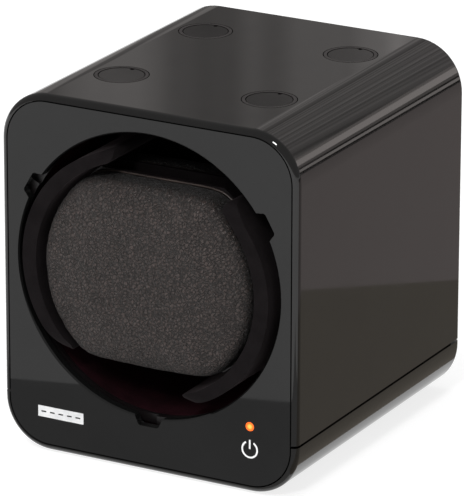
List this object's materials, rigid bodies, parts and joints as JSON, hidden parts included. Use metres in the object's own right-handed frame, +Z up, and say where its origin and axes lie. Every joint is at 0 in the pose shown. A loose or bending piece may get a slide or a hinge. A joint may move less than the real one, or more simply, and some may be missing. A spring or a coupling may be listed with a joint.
{
  "type": "watch winder box",
  "caption": "Gloss black stackable winder case with a round front opening, a turning cradle holding a leather cushion, and caps over the top sockets.",
  "frame": {"origin": "middle of the whole object's base, on the surface that the feet stand on", "axes": "+Z up, -Y out of the front panel, +X to the right as seen from the front"},
  "size_m": [0.108, 0.1188, 0.1219],
  "materials": {
    "gloss_black": "high gloss moulded",
    "panel_black": "polished",
    "satin_black": "satin moulded",
    "matt_black": "fine textured",
    "flock": "flocked",
    "leather": "fine grained",
    "rubber": "matt",
    "steel": "plated",
    "name_steel": "brushed",
    "bronze": "sintered",
    "gold": "plated",
    "acetal": "moulded",
    "frame_plastic": "moulded",
    "motor_steel": "rolled",
    "magnet": "nickel plated",
    "board": "solder mask",
    "chip": "moulded",
    "lens": "translucent",
    "white_print": "printed",
    "foam": "conductive foam",
    "cable": "extruded",
    "lead": "extruded",
    "switch_blue": "moulded"
  },
  "bodies": {
    "case": {"upper_shell": "gloss_black", "base_tray": "gloss_black", "front_panel": "panel_black", "rear_cover": "matt_black", "drum_liner": "flock", "bayonet_ring": "satin_black", "name_plate": "name_steel", "status_lens": "lens", "power_mark": "white_print", "rubber_feet": "rubber", "panel_screws": "steel", "cover_screws": "steel", "cap_sockets": "satin_black", "socket_contacts": "gold", "bearing_plate": "frame_plastic", "rear_bridge": "frame_plastic", "frame_pillars": "steel", "frame_screws": "steel", "liner_screws": "steel", "shaft_bushes": "bronze", "idler_pin": "steel", "motor_gearbox": "motor_steel", "motor_can": "motor_steel", "motor_screws": "steel", "hall_sensor": "chip", "control_board": "board", "board_chips": "chip", "power_jack": "chip", "jack_pin": "steel", "switch_body": "motor_steel", "selector_body": "switch_blue", "touch_board": "board", "status_led": "white_print", "touch_foam": "foam", "ribbon_cable": "cable", "motor_leads": "lead"},
    "drum": {"drum_plate": "satin_black", "left_arm": "satin_black", "right_arm": "satin_black", "arm_screws": "steel", "hub_screw": "steel", "drive_shaft": "steel", "shaft_washer": "steel", "shaft_clip": "steel", "drum_gear": "acetal", "index_magnet": "magnet"},
    "cushion": {"cushion_rear_plate": "satin_black", "cushion_rear_pad": "leather", "cushion_springs": "steel"},
    "cushion_front": {"cushion_front_pad": "leather", "cushion_front_plate": "satin_black"},
    "idler": {"idler_gear": "acetal"},
    "motor_rotor": {"motor_pinion": "bronze"},
    "cap_front_left": {"cap_front_left": "gloss_black"},
    "cap_front_right": {"cap_front_right": "gloss_black"},
    "cap_rear_left": {"cap_rear_left": "gloss_black"},
    "cap_rear_right": {"cap_rear_right": "gloss_black"},
    "direction_switch": {"direction_switch": "chip"},
    "turns_selector": {"turns_selector": "white_print"}
  },
  "joints": [
    {"name": "drum_spin", "type": "hinge", "parent": "case", "child": "drum", "pos_m": [0, -0.0059, 0.0667], "axis": [0, 1, 0], "continuous": true},
    {"name": "idler_spin", "type": "hinge", "parent": "case", "child": "idler", "pos_m": [-0.01856, 0.0101, 0.04458], "axis": [0, 1, 0], "continuous": true},
    {"name": "motor_spin", "type": "hinge", "parent": "case", "child": "motor_rotor", "pos_m": [-0.03179, 0.0151, 0.03976], "axis": [0, 1, 0], "continuous": true},
    {"name": "cushion_out", "type": "slide", "parent": "drum", "child": "cushion", "axis": [0, -1, 0], "range_m": [0, 0.06]},
    {"name": "cushion_squeeze", "type": "slide", "parent": "cushion", "child": "cushion_front", "axis": [0, 1, 0], "range_m": [0, 0.005], "stiffness_N_per_m": 600, "deforming": ["cushion_springs"]},
    {"name": "direction_slide", "type": "slide", "parent": "case", "child": "direction_switch", "axis": [1, 0, 0], "range_m": [-0.002, 0.002]},
    {"name": "selector_turn", "type": "hinge", "parent": "case", "child": "turns_selector", "pos_m": [0.028, 0.0541, 0.0165], "axis": [0, 1, 0], "range_deg": [-135, 135]},
    {"name": "cap_front_left_lift", "type": "slide", "parent": "case", "child": "cap_front_left", "axis": [0, 0, 1], "range_m": [0, 0.012]},
    {"name": "cap_front_right_lift", "type": "slide", "parent": "case", "child": "cap_front_right", "axis": [0, 0, 1], "range_m": [0, 0.012]},
    {"name": "cap_rear_left_lift", "type": "slide", "parent": "case", "child": "cap_rear_left", "axis": [0, 0, 1], "range_m": [0, 0.012]},
    {"name": "cap_rear_right_lift", "type": "slide", "parent": "case", "child": "cap_rear_right", "axis": [0, 0, 1], "range_m": [0, 0.012]}
  ],
  "couplings": [
    {"joint": "idler_spin", "follows": "drum_spin", "ratio": -3},
    {"joint": "motor_spin", "follows": "drum_spin", "ratio": 7.5}
  ]
}
